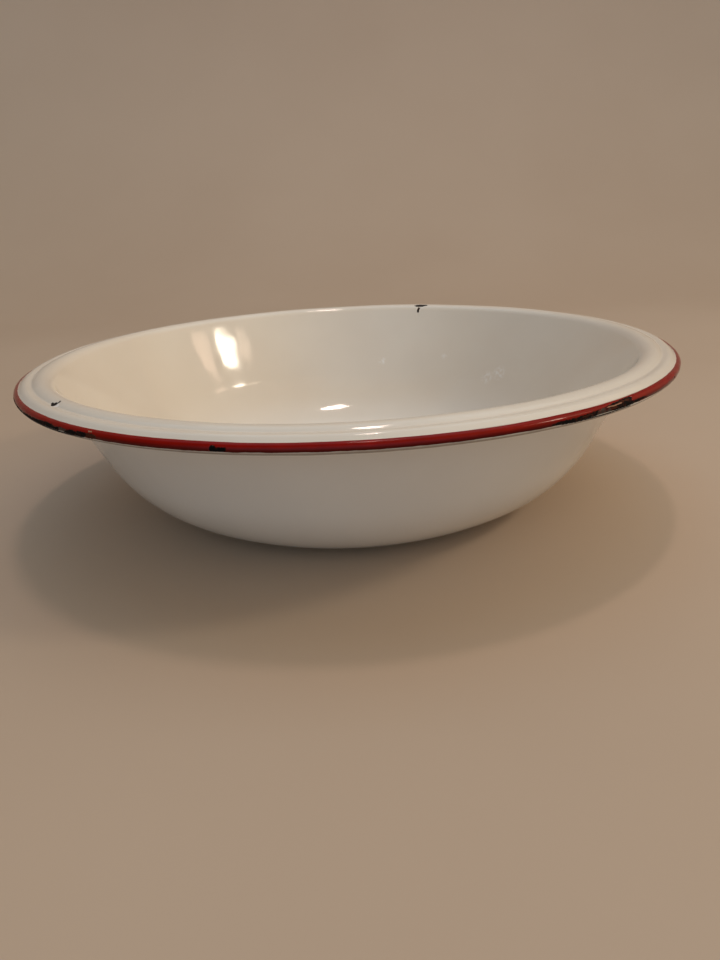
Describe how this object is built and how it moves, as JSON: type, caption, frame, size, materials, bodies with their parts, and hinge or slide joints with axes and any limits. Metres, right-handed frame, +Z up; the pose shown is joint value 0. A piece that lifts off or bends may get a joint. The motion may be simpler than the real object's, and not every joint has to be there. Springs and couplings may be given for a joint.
{
  "type": "enamelled wash basin",
  "caption": "Round wash basin of drawn steel under fused white enamel, with a rolled red edge and a flat base.",
  "frame": {"origin": "centre of the flat resting face, on the basin's axis", "axes": "+Z up along the basin's axis, which is its axis of symmetry; X and Y are level and have no preferred direction"},
  "size_m": [0.3999, 0.4, 0.0955],
  "materials": {
    "steel": "pickled sheet steel, dull, oxidised where bare",
    "ground_enamel": "fused dark ground enamel",
    "white_enamel_inside": "glossy fused enamel, slightly wavy",
    "white_enamel_outside": "glossy fused enamel, slightly wavy",
    "red_enamel": "glossy fused enamel, brushed on, chipped to the dark coat in places"
  },
  "bodies": {
    "root": {"steel_shell": "steel", "ground_coat": "ground_enamel", "white_coat_inside": "white_enamel_inside", "white_coat_outside": "white_enamel_outside", "red_edge_coat": "red_enamel"}
  },
  "joints": []
}
